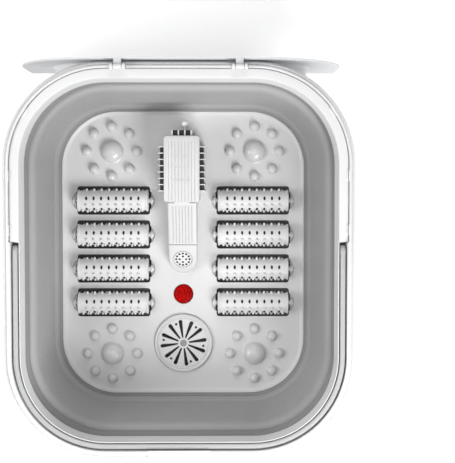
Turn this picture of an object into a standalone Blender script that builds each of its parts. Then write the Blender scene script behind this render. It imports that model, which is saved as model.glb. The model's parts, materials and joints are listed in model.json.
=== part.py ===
"""Foot spa basin: a collapsible tub on a heated base, with rollers, a carrying handle and a half cover.

Metres, +Z up, +Y to the rear. The origin is on the surface that the basin stands on, under its centre.
Every outline is a rounded rectangle round one core rectangle, so a single offset from that core gives its
size: outline(offset). The object is at rest with the tub unfolded, the handle folded down and the cover
hanging behind the rear of the rim.
"""
import math

import bmesh
import bpy
from mathutils import Matrix, Vector

# Core rectangle of all outlines (half sizes), and how finely their corners are divided
CORE_X = 0.078
CORE_Y = 0.102
CORNER_STEPS = 6
GAP = 0.0003

# Heights of the main levels
FOOT_TOP = 0.0052
PLATE_TOP = 0.0076
SHELL_BOTTOM = 0.0060
SHELL_TOP = 0.0460
FLOOR_Z = 0.0500
PANEL_BOTTOM = 0.0560
PANEL_TOP = 0.1500
WALL_BOTTOM = 0.1633
SKIRT_BOTTOM = 0.1740
SKIRT_SHOULDER = 0.1920
TROUGH_Z = 0.1765
TRIM_LOW = 0.1790
TRIM_TOP = 0.1965
RIM_TOP = 0.2000

# Offsets of the main outlines from the core
FLOOR_R = 0.0650
SHELL_R = 0.0675
PANEL_R_LOW = 0.0715
PANEL_R_HIGH = 0.0895
WALL_R = 0.0913
TRIM_R_LOW = 0.0872
TRIM_R_HIGH = 0.0898
TRIM_R_FRONT = 0.0908
TRIM_R_REAR = 0.0996
LIP_R_FRONT = 0.0988
LIP_R_REAR = 0.1008
EDGE_R = 0.1055
SKIRT_R = 0.1085

# Carrying handle: a strip that lies in the front half of the rim and turns on two pins
HANDLE_R = 0.0948
HANDLE_WIDTH = 0.0056
HANDLE_LOW = 0.1830
HANDLE_HIGH = 0.1970
PIVOT_Y = 0.0100
PIVOT_Z = 0.1900
REAR_FROM_Y = 0.0205
PIN_R = 0.0020

# Half cover: hinged on two lugs behind the rim
COVER_HINGE_Y = 0.2030
COVER_HINGE_Z = 0.2080
COVER_R = 0.0995
COVER_FRONT = 0.0440
COVER_BOTTOM = 0.1975
COVER_STEPS = ((0.0630, 0.0120), (0.0350, 0.0190), (0.0050, 0.0260))
COVER_KNUCKLE_X = 0.0635
HINGE_R = 0.0032
HINGE_PIN_R = 0.0012
EAR_SPREAD = 0.0066
COVER_REST_ANGLE = math.radians(90)

# Massage rollers: two columns of four
ROLLER_X = 0.0824
ROLLER_YS = (0.0620, 0.0217, -0.0187, -0.0590)
ROLLER_Z = 0.0565
ROLLER_HALF = 0.0415
ROLLER_TIP_R = 0.0148
ROLLER_CORE_R = 0.0130
ROLLER_PIN_R = 0.0025
ROLLER_PIN_END = 0.0478
POCKET_X = 0.0430
POCKET_Y = 0.0168
POCKET_Z = 0.0408
SHEET = 0.0022
TRAY_LOW = 0.0470

# Pieces on the floor
NUB_X = 0.0843
NUB_Y = 0.1200
NUB_RING = 0.0293
LENS_Y = -0.0491
LENS_R = 0.0110
HERB_Y = -0.1073
HERB_LID_R = 0.0342
HERB_CUP_R = 0.0300
SLOT_COUNT = 12
HOUSING_X = 0.0203
HOUSING_FRONT = 0.0612
HOUSING_REAR = 0.1362
HOUSING_TOP = 0.1130
FIN_OUT = 0.0065
FIN_COUNT = 8
TOOTH_XS = (-0.0108, -0.0036, 0.0036, 0.0108)
PROBE_Y = 0.1500
PROBE_Z = 0.0980
PUMP_Y = 0.0980
RAMP_X = 0.0167
RAMP_HIGH = 0.1020
RAMP_LOW = 0.0600
RAMP_END = -0.0233
NOZZLE_Y = -0.0064
NOZZLE_R = 0.0105
FIN_PITCH = 0.0071

# Control panel on the front of the base
PANEL_Z = 0.0265
PANEL_FACE = 0.1702
DISPLAY_HALF_X = 0.0150
BUTTON_XS = {"power": -0.0420, "heat": -0.0270, "bubble": 0.0270, "light": 0.0420}
BUTTON_R = 0.0042


def clear_scene():
    for thing in list(bpy.data.objects):
        bpy.data.objects.remove(thing)


def material(name, colour, roughness, metallic=0.0):
    made = bpy.data.materials.new(name)
    made.use_nodes = True
    shader = made.node_tree.nodes["Principled BSDF"]
    shader.inputs["Base Color"].default_value = (*colour, 1.0)
    shader.inputs["Roughness"].default_value = roughness
    shader.inputs["Metallic"].default_value = metallic
    made.diffuse_color = (*colour, 1.0)
    return made


def add(name, bm, mat, location=(0, 0, 0), parent=None):
    """Makes a smooth-shaded object of bm, which is freed, with its origin at location."""
    bmesh.ops.recalc_face_normals(bm, faces=bm.faces)
    mesh = bpy.data.meshes.new(name)
    bm.to_mesh(mesh)
    bm.free()
    mesh.shade_smooth()
    mesh.set_sharp_from_angle(angle=math.radians(35))
    mesh.materials.append(mat)
    obj = bpy.data.objects.new(name, mesh)
    obj.location = location
    obj.parent = parent
    bpy.context.scene.collection.objects.link(obj)
    return obj


def boolean(obj, bm, operation="DIFFERENCE"):
    """Cuts bm from obj, or joins it with UNION. The helper that holds bm isn't part of the model."""
    helper = add(f"{obj.name}_{operation.lower()}", bm, obj.data.materials[0], obj.location[:], obj.parent)
    helper.hide_render = True
    helper.display_type = "WIRE"
    modifier = obj.modifiers.new(helper.name, "BOOLEAN")
    modifier.operation = operation
    modifier.object = helper


def outline(offset, core_x=CORE_X, core_y=CORE_Y, steps=CORNER_STEPS):
    """Points of the core rectangle grown by offset, anticlockwise from the right-hand front corner."""
    points = []
    for quarter, (sx, sy) in enumerate(((1, -1), (1, 1), (-1, 1), (-1, -1))):
        for step in range(steps + 1):
            angle = math.radians(90) * (quarter - 1 + step / steps)
            points.append((sx * core_x + offset * math.cos(angle), sy * core_y + offset * math.sin(angle)))
    return points


def loft(bm, sections, closed=False):
    """Joins sections, lists of points with one length, by faces. The ends are capped, or joined if closed."""
    rings = [[bm.verts.new(point) for point in section] for section in sections]
    pairs = list(zip(rings, rings[1:]))
    if closed:
        pairs.append((rings[-1], rings[0]))
    for low, high in pairs:
        for i in range(len(low)):
            j = (i + 1) % len(low)
            bm.faces.new((low[i], low[j], high[j], high[i]))
    if not closed:
        bm.faces.new(list(reversed(rings[0])))
        bm.faces.new(rings[-1])
    return bm


def ring(profile):
    """A closed ring with this cross-section of (offset, z). An offset may be a (front, rear) pair."""
    sections = []
    for offset, z in profile:
        front, rear = offset if isinstance(offset, tuple) else (offset, offset)
        sections.append([(x, y, z) for x, y in two_part_outline(front, rear)])
    return loft(bmesh.new(), sections, closed=True)


def two_part_outline(front, rear):
    """An outline that steps from one offset to another where the handle's channel ends."""
    points = []
    for number, (x, y) in enumerate(outline(front)):
        if number == CORNER_STEPS + 1:
            points += [(CORE_X + front, REAR_FROM_Y - GAP), (CORE_X + rear, REAR_FROM_Y + GAP)]
        points.append((x, y) if y < 0 else outline(rear)[number])
        if number == 3 * CORNER_STEPS + 2:
            points += [(-CORE_X - rear, REAR_FROM_Y + GAP), (-CORE_X - front, REAR_FROM_Y - GAP)]
    return points


def plate(offset, low, high):
    return loft(bmesh.new(), [[(x, y, z) for x, y in outline(offset)] for z in (low, high)])


def block(bm, low, high, matrix=None):
    """Adds a box from corner low to corner high."""
    size = Vector(high) - Vector(low)
    place = Matrix.Translation((Vector(low) + Vector(high)) / 2) @ Matrix.Diagonal((*size, 1))
    bmesh.ops.create_cube(bm, size=1.0, matrix=(matrix or Matrix()) @ place)
    return bm


def turned(profile, steps=24, matrix=None, bm=None):
    """Adds a solid of revolution about Z, through (radius, z) points from one end to the other."""
    bm = bm or bmesh.new()
    sections = []
    for radius, z in profile:
        angles = [math.tau * i / steps for i in range(steps)]
        points = [Vector((radius * math.cos(a), radius * math.sin(a), z)) for a in angles]
        sections.append([matrix @ p if matrix else p for p in points])
    return loft(bm, sections)


def rod(radius, start, end, steps=12, bm=None):
    """Adds a round bar between two points."""
    start, end = Vector(start), Vector(end)
    turn = (end - start).to_track_quat("Z", "Y").to_matrix().to_4x4()
    profile = [(radius, 0), (radius, (end - start).length)]
    return turned(profile, steps, Matrix.Translation(start) @ turn, bm)


def empty(name, location, parent=None):
    made = bpy.data.objects.new(name, None)
    made.location = location
    made.parent = parent
    bpy.context.scene.collection.objects.link(made)
    return made


# ---- Base -------------------------------------------------------------------------------------------

FOOT_PLACES = [(sx * 0.088, sy * 0.108) for sx in (-1, 1) for sy in (-1, 1)]
SCREW_PLACES = [(sx * 0.1155, sy * 0.1395) for sx in (-1, 1) for sy in (-1, 1)]
FLANGE_TOP = 0.0105


def make_base_shell(mat):
    low_r = SHELL_R - 0.0020
    profile = [
        (low_r, SHELL_BOTTOM), (SHELL_R, SHELL_TOP), (SHELL_R - SHEET, SHELL_TOP),
        (low_r - SHEET, FLANGE_TOP), (0.0470, FLANGE_TOP), (0.0470, PLATE_TOP + GAP),
        (low_r - SHEET, PLATE_TOP + GAP), (low_r - SHEET, SHELL_BOTTOM),
    ]
    shell = add("base_shell", ring(profile), mat)
    holes = bmesh.new()
    for x, y in SCREW_PLACES:
        rod(0.0021, (x, y, 0.004), (x, y, 0.014), bm=holes)
    face = -(CORE_Y + SHELL_R)
    block(holes, (-0.0500, face - 0.01, PANEL_Z - 0.0110), (0.0500, face + 0.01, PANEL_Z + 0.0110))
    rod(0.0090, (-0.0400, -face - 0.01, 0.0280), (-0.0400, -face + 0.01, 0.0280), 20, holes)
    boolean(shell, holes)


def make_bottom_cover(mat):
    cover = add("bottom_cover", plate(0.0605, FOOT_TOP + GAP, PLATE_TOP), mat)
    holes = bmesh.new()
    for x, y in SCREW_PLACES:
        rod(0.0021, (x, y, 0.0), (x, y, 0.014), bm=holes)
    boolean(cover, holes)


def make_feet(mat):
    profile = [(0.0092, 0), (0.0100, 0.0010), (0.0100, FOOT_TOP)]
    for number, (x, y) in enumerate(FOOT_PLACES, 1):
        add(f"foot_{number}", turned(profile, 20), mat, (x, y, 0))


def make_cover_screws(mat):
    profile = [(0.0036, 0.0030), (0.0036, FOOT_TOP), (0.0017, FOOT_TOP + 0.0001), (0.0017, 0.0135)]
    for number, (x, y) in enumerate(SCREW_PLACES, 1):
        add(f"base_screw_{number}", turned(profile, 12), mat, (x, y, 0))


def roller_places():
    return [(side * ROLLER_X, y) for side in (-1, 1) for y in ROLLER_YS]


def add_roller_ear(bm, x, y):
    """One of the two upright clips that hold a roller's pins, with its round top."""
    half, thick = 0.0062, 0.0038
    points = [(-half, FLOOR_Z - 0.001), (half, FLOOR_Z - 0.001)]
    for step in range(9):
        angle = math.pi * step / 8
        points.append((half * math.cos(angle), ROLLER_Z + half * math.sin(angle)))
    sides = [[(x + dx, y + py, pz) for py, pz in points] for dx in (-thick / 2, thick / 2)]
    loft(bm, sides)


def ear_xs(x):
    """Where the two clips of the roller at x stand."""
    return [x + side * (POCKET_X + 0.0024) for side in (-1, 1)]


def add_dome(bm, x, y, radius, height, steps):
    """A rounded massage nub that grows out of the floor."""
    profile = [(radius, FLOOR_Z - 0.0010)]
    for share in (0.15, 0.60, 0.92):
        profile.append((radius * math.sqrt(1 - share**2), FLOOR_Z + height * share))
    turned(profile, steps, Matrix.Translation((x, y, 0)), bm)


def make_floor_tray(mat):
    """The tub's floor: a rim, a pocket under each roller, clips for the pins, nubs, and three holes."""
    steps = (
        (FLOOR_R + 0.0022, SHELL_TOP + GAP), (FLOOR_R + 0.0022, TRAY_LOW + 0.0005),
        (FLOOR_R, TRAY_LOW + 0.0005),
        (FLOOR_R, FLOOR_Z + 0.0030), (FLOOR_R - 0.0020, FLOOR_Z + 0.0030), (FLOOR_R - 0.0030, FLOOR_Z),
    )
    sections = [[(x, y, z) for x, y in outline(offset)] for offset, z in steps]
    tray = add("floor_tray", loft(bmesh.new(), sections), mat)
    pans = bmesh.new()
    for x, y in roller_places():
        low = (x - POCKET_X - SHEET, y - POCKET_Y - SHEET, POCKET_Z - SHEET)
        block(pans, low, (x + POCKET_X + SHEET, y + POCKET_Y + SHEET, FLOOR_Z - 0.0010))
    boolean(tray, pans, "UNION")
    upright = bmesh.new()
    for x, y in roller_places():
        for ear_x in ear_xs(x):
            add_roller_ear(upright, ear_x, y)
    for x, y, radius, height, sides in nub_places():
        add_dome(upright, x, y, radius, height, sides)
    boolean(tray, upright, "UNION")
    holes = bmesh.new()
    for x, y in roller_places():
        block(holes, (x - POCKET_X, y - POCKET_Y, POCKET_Z), (x + POCKET_X, y + POCKET_Y, FLOOR_Z + 0.0030))
        for ear_x in ear_xs(x):
            start = (ear_x - 0.0030, y, ROLLER_Z)
            rod(ROLLER_PIN_R + GAP, start, (ear_x + 0.0030, y, ROLLER_Z), 12, holes)
    rod(LENS_R + GAP, (0, LENS_Y, 0.040), (0, LENS_Y, 0.060), 24, holes)
    rod(HERB_CUP_R + GAP, (0, HERB_Y, 0.040), (0, HERB_Y, 0.060), 32, holes)
    rod(0.0035, (0, PUMP_Y, 0.040), (0, PUMP_Y, 0.060), 16, holes)
    boolean(tray, holes)


def nub_places():
    """Centre, radius, height and number of sides of every nub: one large and eight small in each corner."""
    places = []
    for sx in (-1, 1):
        for sy in (-1, 1):
            x, y = sx * NUB_X, sy * NUB_Y
            places.append((x, y, 0.0128, 0.0090, 14))
            for number in range(8):
                turn = math.tau * number / 8
                spot = (x + NUB_RING * math.cos(turn), y + NUB_RING * math.sin(turn))
                places.append((*spot, 0.0060, 0.0060, 8))
    return places


def make_lower_seal(mat):
    """The soft band that joins the side panel to the base all round."""
    profile = [
        (FLOOR_R + GAP, TRAY_LOW + 0.0008), (SHELL_R, TRAY_LOW + 0.0008),
        (PANEL_R_LOW, PANEL_BOTTOM - GAP), (PANEL_R_LOW - SHEET, PANEL_BOTTOM - GAP),
        (FLOOR_R + GAP, FLOOR_Z + 0.0030),
    ]
    add("lower_seal", ring(profile), mat)


def make_side_panel(mat):
    profile = [
        (PANEL_R_LOW, PANEL_BOTTOM), (PANEL_R_HIGH, PANEL_TOP),
        (PANEL_R_HIGH - SHEET, PANEL_TOP), (PANEL_R_LOW - SHEET, PANEL_BOTTOM),
    ]
    add("side_panel", ring(profile), mat)


def make_inner_parts(mats):
    """The pieces inside the base: heater, pump motor, circuit board, lamp board and power inlet."""
    heater = block(bmesh.new(), (-0.032, -0.028, TRAY_LOW - 0.0065), (0.032, 0.060, SHELL_TOP))
    add("heater", heater, mats["metal"])
    motor = [(0.0150, PLATE_TOP + GAP), (0.0200, 0.0100), (0.0200, 0.0360), (0.0080, 0.0380), (0.0080, 0.0420)]
    add("pump_motor", turned(motor), mats["dark"], (0, PUMP_Y, 0))
    board = block(bmesh.new(), (-0.048, -0.1622, 0.0170), (0.048, -0.1606, 0.0350))
    add("circuit_board", board, mats["board"])
    lamp = turned([(0.0095, 0.0400), (0.0095, 0.0416), (0.0030, 0.0416), (0.0030, 0.0450)], 16)
    add("lamp_board", lamp, mats["board"], (0, LENS_Y, 0))
    socket = [
        (0.0112, 0.1492), (0.0112, 0.1625), (0.0087, 0.1625), (0.0087, 0.1703), (0.0065, 0.1703),
        (0.0065, 0.1580),
    ]
    turn = Matrix.Rotation(math.radians(-90), 4, "X")
    add("power_inlet", turned(socket, 20, turn), mats["dark"], (-0.0400, 0, 0.0280))


def make_impeller(mat):
    """A shaft through the floor with four blades above it, under the pump housing."""
    profile = [(0.0025, 0.0424), (0.0025, 0.0530), (0.0060, 0.0530), (0.0060, 0.0620), (0.0020, 0.0650)]
    impeller = add("pump_impeller", turned(profile, 12), mat, (0, PUMP_Y, 0))
    for degrees in (0, 90):
        turn = Matrix.Rotation(math.radians(degrees), 4, "Z")
        blades = block(bmesh.new(), (-0.0140, -0.0010, 0.0540), (0.0140, 0.0010, 0.0610), turn)
        boolean(impeller, blades, "UNION")


# ---- Control panel ----------------------------------------------------------------------------------

def make_control_panel(mats):
    low = (-0.0497, -PANEL_FACE, PANEL_Z - 0.0107)
    high = (0.0497, 0.0034 - PANEL_FACE, PANEL_Z + 0.0107)
    panel = add("control_panel", block(bmesh.new(), low, high), mats["dark"])
    holes = bmesh.new()
    for x in BUTTON_XS.values():
        rod(BUTTON_R + GAP, (x, -PANEL_FACE - 0.003, PANEL_Z), (x, -PANEL_FACE + 0.006, PANEL_Z), 16, holes)
    half = DISPLAY_HALF_X + GAP
    block(holes, (-half, -PANEL_FACE - 0.003, PANEL_Z - 0.0073), (half, 0.006 - PANEL_FACE, PANEL_Z + 0.0073))
    boolean(panel, holes)
    low = (-DISPLAY_HALF_X, 0.0004 - PANEL_FACE, PANEL_Z - 0.0070)
    high = (DISPLAY_HALF_X, 0.0030 - PANEL_FACE, PANEL_Z + 0.0070)
    add("display_window", block(bmesh.new(), low, high), mats["red"])
    turn = Matrix.Rotation(math.radians(-90), 4, "X")
    profile = [(0.0034, -0.0012), (BUTTON_R, -0.0006), (BUTTON_R, 0.0037), (0.0050, 0.0037), (0.0050, 0.0047)]
    for name, x in BUTTON_XS.items():
        add(f"{name}_button", turned(profile, 16, turn), mats["white"], (x, -PANEL_FACE, PANEL_Z))


# ---- Pieces on the floor ----------------------------------------------------------------------------

def make_rollers(mat):
    """Eight rollers with a pin at each end, which turn in the clips of the floor."""
    half = ROLLER_HALF
    profile = [
        (ROLLER_PIN_R, -ROLLER_PIN_END), (ROLLER_PIN_R, -half), (ROLLER_CORE_R, -half),
        (ROLLER_TIP_R, 0.0015 - half), (ROLLER_TIP_R, half - 0.0015), (ROLLER_CORE_R, half),
        (ROLLER_PIN_R, half), (ROLLER_PIN_R, ROLLER_PIN_END),
    ]
    turn = Matrix.Rotation(math.radians(90), 4, "Y")
    for number, (x, y) in enumerate(roller_places(), 1):
        add(f"roller_{number}", turned(profile, 16, turn), mat, (x, y, ROLLER_Z))


def make_light_lens(mat):
    profile = [
        (LENS_R, TRAY_LOW), (LENS_R, FLOOR_Z + 0.0010), (LENS_R - 0.0020, FLOOR_Z + 0.0024),
        (0.0040, FLOOR_Z + 0.0030),
    ]
    add("light_lens", turned(profile, 24), mat, (0, LENS_Y, 0))


def make_herb_box(mats):
    """A cup let into the floor, and its round lid with slots, which lifts out."""
    wall = 0.0018
    cup = [
        (HERB_CUP_R, 0.0330), (HERB_CUP_R, FLOOR_Z - 0.0002), (HERB_CUP_R - wall, FLOOR_Z - 0.0002),
        (HERB_CUP_R - wall, 0.0330 + wall),
    ]
    add("herb_cup", turned(cup, 28), mats["grey"], (0, HERB_Y, 0))
    low = FLOOR_Z + GAP
    profile = [(HERB_LID_R, low), (HERB_LID_R, low + 0.0015), (HERB_LID_R - 0.0030, low + 0.0038)]
    lid = add("herb_lid", turned(profile, 32), mats["grey"], (0, HERB_Y, 0))
    slots = bmesh.new()
    for number in range(SLOT_COUNT):
        turn = Matrix.Rotation(math.tau * number / SLOT_COUNT + math.radians(8), 4, "Z")
        plan = ((0.0080, -0.0007), (0.0255, -0.0021), (0.0270, 0), (0.0255, 0.0021), (0.0080, 0.0007))
        loft(slots, [[turn @ Vector((x, y, z)) for x, y in plan] for z in (low - 0.002, low + 0.006)])
    boolean(lid, slots)


def housing_plan():
    """The pump housing from above: fins along both sides and teeth along the rear."""
    middle = (HOUSING_FRONT + HOUSING_REAR) / 2 - FIN_PITCH / 2
    half = 0.0016
    right = [(HOUSING_X, HOUSING_FRONT)]
    for number in range(FIN_COUNT):
        y = middle + (number - (FIN_COUNT - 1) / 2) * FIN_PITCH
        out = HOUSING_X + FIN_OUT
        right += [(HOUSING_X, y - half), (out, y - half), (out, y + half), (HOUSING_X, y + half)]
    right.append((HOUSING_X, HOUSING_REAR))
    rear = []
    for x in reversed(TOOTH_XS):
        out = HOUSING_REAR + FIN_OUT
        rear += [(x + half, HOUSING_REAR), (x + half, out), (x - half, out), (x - half, HOUSING_REAR)]
    return right + rear + [(-x, y) for x, y in reversed(right)]


def make_pump_housing(mat):
    """A tall box over the pump, open underneath, with a hole for the probe in its rear."""
    low = FLOOR_Z + GAP
    plan = housing_plan()
    outer = loft(bmesh.new(), [[(x, y, z) for x, y in plan] for z in (low, HOUSING_TOP)])
    housing = add("pump_housing", outer, mat)
    wall = 0.0024
    inside = block(
        bmesh.new(), (-HOUSING_X + wall, HOUSING_FRONT + wall, low - 0.002),
        (HOUSING_X - wall, HOUSING_REAR - wall, HOUSING_TOP - wall),
    )
    boolean(housing, inside)
    probe_from = (TOOTH_XS[2], HOUSING_REAR - 0.006, PROBE_Z)
    boolean(housing, rod(0.0015, probe_from, (TOOTH_XS[2], PROBE_Y, PROBE_Z), 10))


def make_temperature_probe(mat):
    """A bar with a round tip that stands out of the rear of the pump housing."""
    turn = Matrix.Rotation(math.radians(-90), 4, "X")
    reach = PROBE_Y - HOUSING_REAR
    profile = [(0.0011, -0.0020), (0.0011, reach - 0.0036), (0.0030, reach - 0.0026), (0.0040, reach)]
    profile += [(0.0030, reach + 0.0026), (0.0012, reach + 0.0038)]
    add("temperature_probe", turned(profile, 12, turn), mat, (TOOTH_XS[2], HOUSING_REAR, PROBE_Z))


def ramp_height(y, drop=0.0):
    share = (y - RAMP_END) / (HOUSING_FRONT - RAMP_END)
    return RAMP_LOW + share * (RAMP_HIGH - RAMP_LOW) - drop


def ramp_plan(inset):
    """The tongue from above: straight sides from the housing to a half-round end."""
    half = RAMP_X - inset
    centre = RAMP_END + RAMP_X
    points = [(half, HOUSING_FRONT - GAP - inset), (-half, HOUSING_FRONT - GAP - inset)]
    for step in range(11):
        angle = math.pi * (1 + step / 10)
        points.append((half * math.cos(angle), centre + half * math.sin(angle)))
    return points


def make_nozzle_ramp(mats):
    """The sloping duct in front of the pump housing, with a round sieve near its low end."""
    sections = []
    for inset, drop in ((0, 0), (SHEET, SHEET)):
        plan = ramp_plan(inset)
        bottom = [(x, y, FLOOR_Z + GAP - 2 * drop) for x, y in plan]
        sections.append([bottom, [(x, y, ramp_height(y, drop)) for x, y in plan]])
    ramp = add("nozzle_ramp", loft(bmesh.new(), sections[0]), mats["white"])
    boolean(ramp, loft(bmesh.new(), sections[1]))
    slope = math.atan2(RAMP_HIGH - RAMP_LOW, HOUSING_FRONT - RAMP_END)
    place = Matrix.Translation((0, NOZZLE_Y, ramp_height(NOZZLE_Y))) @ Matrix.Rotation(slope, 4, "X")
    boolean(ramp, turned([(NOZZLE_R + GAP, -0.006), (NOZZLE_R + GAP, 0.006)], 24, place))
    sieve = turned([(NOZZLE_R, -0.0022), (NOZZLE_R, -0.0002)], 24, place)
    add("nozzle_sieve", sieve, mats["grey"])


# ---- Rim, handle and cover --------------------------------------------------------------------------

def make_rim_frame(mat, parent):
    """The white rim with its trough, the holes for the handle's pins, and the lugs for the cover's pins."""
    lip = (LIP_R_FRONT, LIP_R_REAR)
    behind_lip = (LIP_R_FRONT + SHEET, LIP_R_REAR + SHEET)
    profile = [
        (SKIRT_R - 0.0006, SKIRT_BOTTOM), (SKIRT_R, SKIRT_SHOULDER), (EDGE_R, RIM_TOP), (lip, RIM_TOP),
        (lip, TROUGH_Z), (WALL_R, TROUGH_Z), (WALL_R, WALL_BOTTOM), (WALL_R + SHEET, WALL_BOTTOM),
        (WALL_R + SHEET, TROUGH_Z - SHEET), (behind_lip, TROUGH_Z - SHEET), (behind_lip, RIM_TOP - SHEET),
        (EDGE_R - 0.0010, RIM_TOP - SHEET), (SKIRT_R - SHEET, SKIRT_SHOULDER - 0.0010),
        (SKIRT_R - SHEET - 0.0006, SKIRT_BOTTOM),
    ]
    rim = add("rim_frame", ring(profile), mat, parent=parent)
    ears = bmesh.new()
    holes = bmesh.new()
    for side in (-1, 1):
        for ear_side in (-1, 1):
            add_hinge_ear(ears, side * COVER_KNUCKLE_X + ear_side * EAR_SPREAD)
        pin_from = Vector((side * COVER_KNUCKLE_X - 0.0100, COVER_HINGE_Y, COVER_HINGE_Z))
        rod(HINGE_PIN_R + GAP, pin_from, pin_from + Vector((0.0200, 0, 0)), 10, holes)
        pivot_from = Vector((side * (CORE_X + LIP_R_FRONT - 0.001), PIVOT_Y, PIVOT_Z))
        rod(PIN_R + GAP, pivot_from, pivot_from + Vector((side * 0.004, 0, 0)), 12, holes)
    boolean(rim, ears, "UNION")
    boolean(rim, holes)


def make_rim_trim(mat, parent):
    """The ring inside the rim. Behind the handle's ends it widens and covers the trough."""
    outer = (TRIM_R_FRONT, TRIM_R_REAR)
    profile = [
        (TRIM_R_LOW, TRIM_LOW), ((TRIM_R_HIGH, TRIM_R_HIGH + 0.0007), TRIM_TOP), (outer, TRIM_TOP),
        (outer, TROUGH_Z + GAP), (TRIM_R_LOW + SHEET, TROUGH_Z + GAP),
    ]
    add("rim_trim", ring(profile), mat, parent=parent)


def make_upper_fold(mat, parent):
    """The soft fold between the side panel and the rim, which shortens when the rim is pushed down."""
    profile = [
        (PANEL_R_HIGH, PANEL_TOP + GAP), (WALL_R + SHEET, WALL_BOTTOM - GAP),
        (WALL_R, WALL_BOTTOM - GAP), (PANEL_R_HIGH - SHEET, PANEL_TOP + GAP),
    ]
    add("upper_fold", ring(profile), mat, parent=parent)


def add_hinge_ear(bm, x):
    """An upright lug on the rear of the rim, round at the top, with its foot in the rim's lip."""
    points = [(COVER_HINGE_Y + 0.0045, RIM_TOP - 0.0010), (COVER_HINGE_Y + HINGE_R, COVER_HINGE_Z)]
    for step in range(1, 7):
        angle = math.pi * step / 6
        points.append((COVER_HINGE_Y + HINGE_R * math.cos(angle), COVER_HINGE_Z + HINGE_R * math.sin(angle)))
    points.append((COVER_HINGE_Y, RIM_TOP - 0.0010))
    loft(bm, [[(x + dx, y, z) for y, z in points] for dx in (-0.0017, 0.0017)])


def make_hinge_pins(mat, parent):
    for side, name in ((-1, "left"), (1, "right")):
        x = side * COVER_KNUCKLE_X
        start = Vector((x - 0.0092, COVER_HINGE_Y, COVER_HINGE_Z))
        pin = rod(HINGE_PIN_R, start, start + Vector((0.0184, 0, 0)), 10)
        add(f"cover_pin_{name}", pin, mat, parent=parent)
        pivot_x = side * (CORE_X + HANDLE_R - HANDLE_WIDTH / 2)
        start = Vector((pivot_x, PIVOT_Y, PIVOT_Z))
        end = start + Vector((side * 0.0088, 0, 0))
        add(f"handle_pin_{name}", rod(PIN_R, start, end, 12), mat, parent=parent)


def handle_sections():
    """Cross-sections of the handle: its right-hand end, the part round the front of the rim, its left-hand end."""
    half = HANDLE_WIDTH / 2
    tall = (HANDLE_HIGH - HANDLE_LOW) / 2
    sections = []
    for degrees in (80, 55, 28, 0):
        reach = tall * math.sin(math.radians(degrees))
        height = tall * math.cos(math.radians(degrees))
        sections.append((reach, height))
    right = []
    for reach, height in sections:
        corners = ((half, height), (-half, height), (-half, -height), (half, -height))
        right.append([(CORE_X + HANDLE_R + dx, PIVOT_Y + reach, PIVOT_Z + dz) for dx, dz in corners])
    left = [[(-x, y, z) for x, y, z in section] for section in reversed(right)]
    middle = []
    outer = outline(HANDLE_R + half)
    inner = outline(HANDLE_R - half)
    front = [number for number, point in enumerate(outer) if point[1] < 0]
    order = front[:CORNER_STEPS + 1][::-1] + front[CORNER_STEPS + 1:][::-1]
    for number in order:
        (ox, oy), (ix, iy) = outer[number], inner[number]
        high, low = PIVOT_Z + tall, PIVOT_Z - tall
        middle.append([(ox, oy, high), (ix, iy, high), (ix, iy, low), (ox, oy, low)])
    return right, middle, left


def make_handle(mat, parent):
    right, middle, left = handle_sections()
    sections = right + middle + left
    placed = [[Vector(point) - parent.location for point in section] for section in sections]
    handle = add("handle", loft(bmesh.new(), placed), mat, parent=parent)
    holes = bmesh.new()
    for side in (-1, 1):
        x = side * (CORE_X + HANDLE_R)
        rod(PIN_R + GAP, (x - 0.005, 0, 0), (x + 0.005, 0, 0), 12, holes)
    boolean(handle, holes)


def cover_section(offset, front, z):
    """The rear part of an outline, cut off straight at y = front."""
    rear = [(x, y) for x, y in outline(offset) if y > 0]
    points = [(CORE_X + offset, front), *rear, (-CORE_X - offset, front)]
    return [(x, y, z) for x, y in points]


def make_cover(mat, parent):
    """Half cover in its closed place: a flat flange with a stepped dome, and a knuckle at each hinge."""
    outer = [(COVER_R, COVER_FRONT, 0), (COVER_R, COVER_FRONT, SHEET)]
    inner = []
    base = 0.0
    for number, (offset, rise) in enumerate(COVER_STEPS):
        front = COVER_FRONT + 0.0030 + 0.0012 * number
        outer += [(offset + 0.0020, front, base + SHEET), (offset, front + 0.0006, rise)]
        inner.append((offset + 0.0020 - SHEET, front + SHEET, base))
        inner.append((offset - SHEET, front + SHEET + 0.0006, rise - SHEET))
        base = rise - SHEET
    hinge = Vector((0, COVER_HINGE_Y, COVER_HINGE_Z))
    closed = []
    for offset, front, rise in inner[::-1] + outer:
        closed.append([Vector(point) - hinge for point in cover_section(offset, front, COVER_BOTTOM + rise)])
    cover = add("cover", loft(bmesh.new(), closed), mat, parent=parent)
    knuckles = bmesh.new()
    holes = bmesh.new()
    for side in (-1, 1):
        x = side * COVER_KNUCKLE_X
        rod(HINGE_R - 0.0004, (x - 0.0045, 0, 0), (x + 0.0045, 0, 0), 14, knuckles)
        rod(HINGE_PIN_R + GAP, (x - 0.0060, 0, 0), (x + 0.0060, 0, 0), 10, holes)
    arms = bmesh.new()
    for side in (-1, 1):
        x = side * COVER_KNUCKLE_X
        low = (x - 0.0040, -0.0070, COVER_BOTTOM + 0.0010 - COVER_HINGE_Z)
        block(arms, low, (x + 0.0040, -0.0016, 0.0012))
    boolean(cover, arms, "UNION")
    boolean(cover, knuckles, "UNION")
    boolean(cover, holes)


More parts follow.
